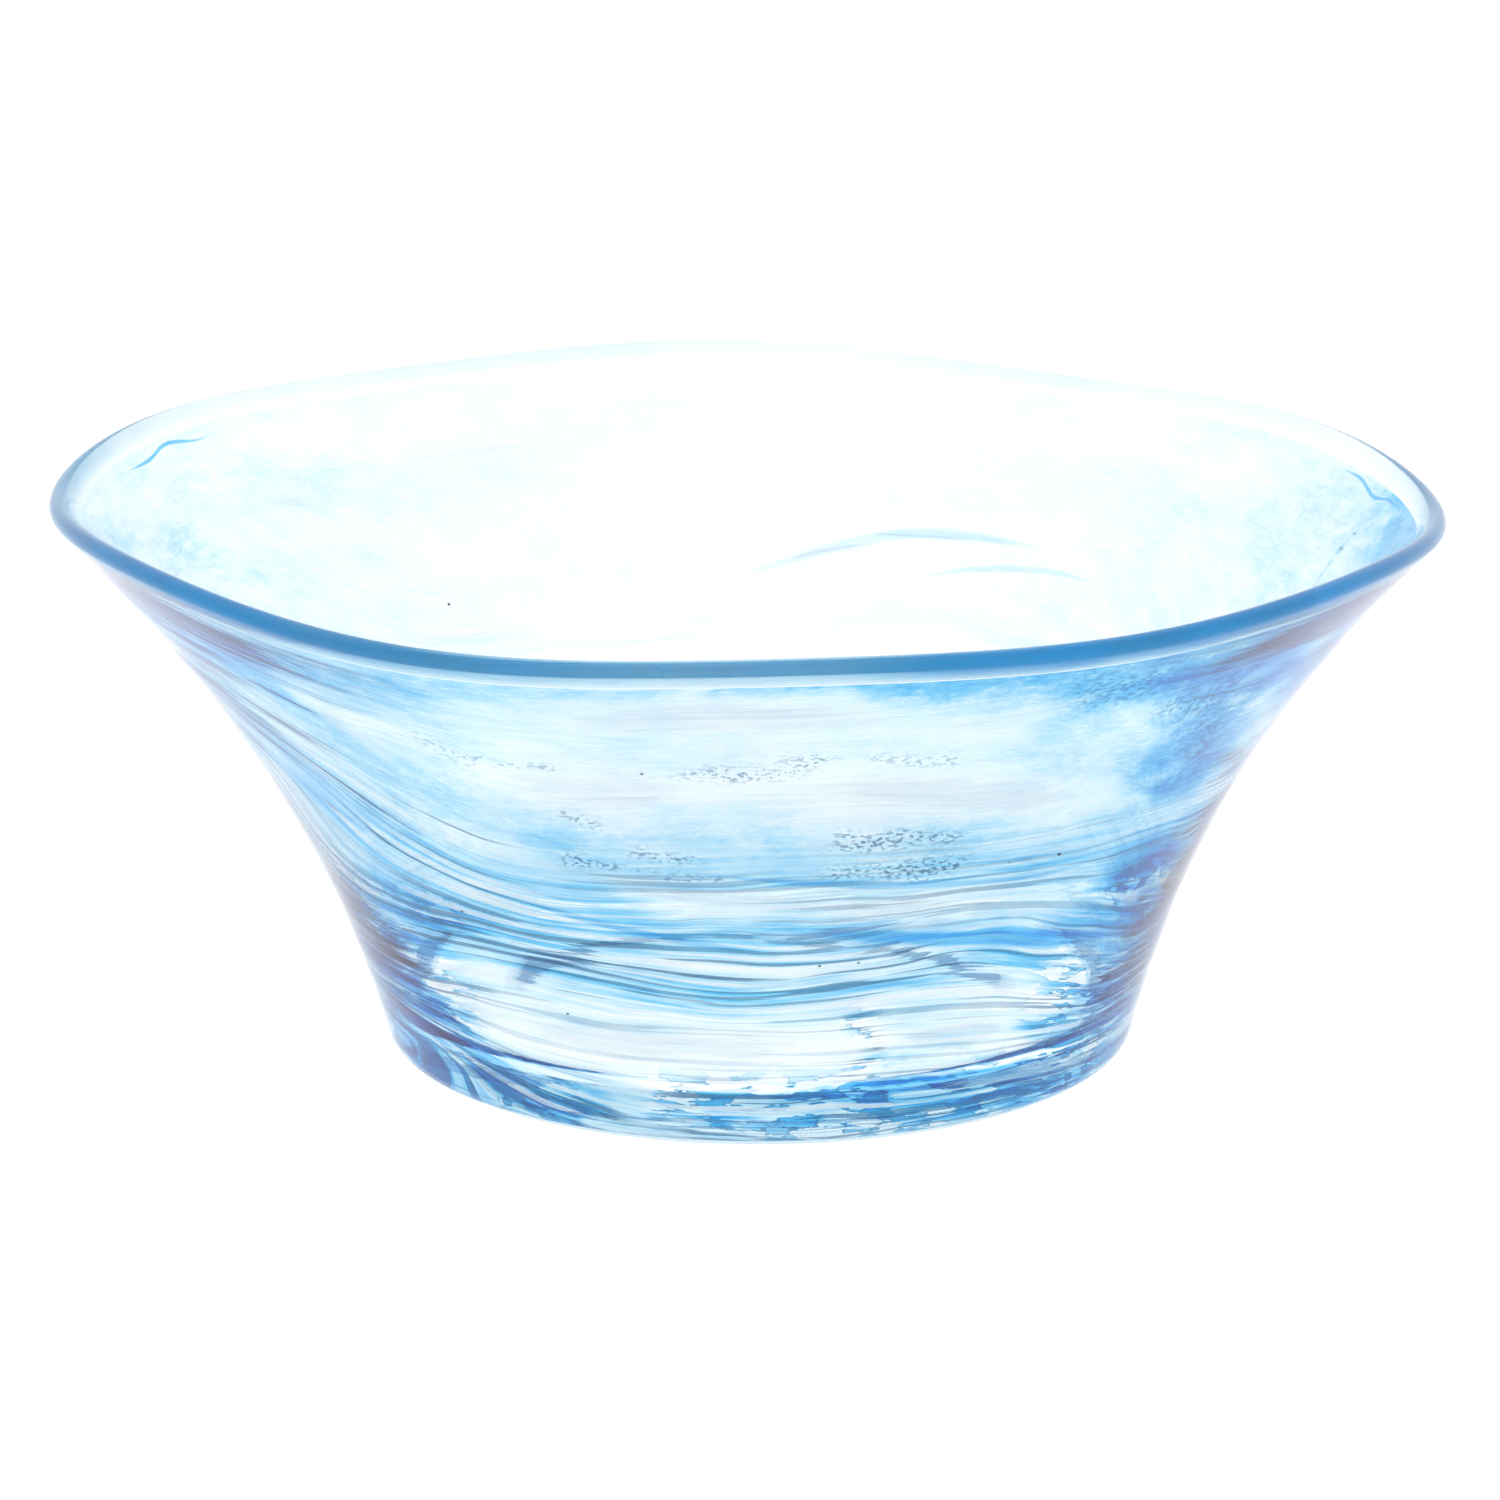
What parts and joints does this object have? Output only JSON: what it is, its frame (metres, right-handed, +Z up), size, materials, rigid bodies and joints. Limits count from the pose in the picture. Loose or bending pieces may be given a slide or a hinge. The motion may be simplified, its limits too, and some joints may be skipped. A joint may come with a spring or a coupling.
{
  "type": "art glass bowl",
  "caption": "Hand-blown flared glass bowl, clear with swirled blue and milk-white trails, blue wavy lip and thick ground foot.",
  "frame": {"origin": "on the plane the foot rests on, below the middle of the mouth", "axes": "+Z up out of the mouth, -Y towards the side with the main blue trail, +X to the right of it"},
  "size_m": [0.2392, 0.2392, 0.1015],
  "materials": {
    "clear_glass": "fire-polished, faint blue tint, fine drawn striae",
    "blue_glass": "fire-polished transparent cobalt and turquoise blue",
    "deep_blue_glass": "transparent deep blue inside the wall",
    "pale_blue_glass": "pale blue, slightly milky",
    "milk_glass": "milk-white, translucent, cloudy edges"
  },
  "bodies": {
    "root": {"inner_gather": "clear_glass", "outer_casing": "clear_glass", "base_gather": "clear_glass", "lip_wrap": "blue_glass", "left_pale_veil": "pale_blue_glass", "upper_white_veil": "milk_glass", "right_shoulder_veil": "blue_glass", "right_cheek_trail": "pale_blue_glass", "right_rim_streak": "pale_blue_glass", "left_white_cloud": "milk_glass", "right_white_cloud": "milk_glass", "back_white_veil": "milk_glass", "back_curl_trail": "pale_blue_glass", "left_upper_sweep": "pale_blue_glass", "left_lower_sweep": "pale_blue_glass", "white_ribbon": "milk_glass", "cyan_thread": "blue_glass", "main_blue_trail": "deep_blue_glass", "lower_cyan_trail": "blue_glass", "right_blue_knot": "deep_blue_glass", "back_blue_trail": "blue_glass", "middle_striae_trail": "pale_blue_glass", "left_deep_trail": "deep_blue_glass", "left_heel_trail": "deep_blue_glass", "low_white_patch": "milk_glass", "right_low_patch": "milk_glass", "right_low_trail": "blue_glass", "base_sweep_trail": "blue_glass", "base_right_trail": "deep_blue_glass", "back_low_trail": "blue_glass"}
  },
  "joints": []
}
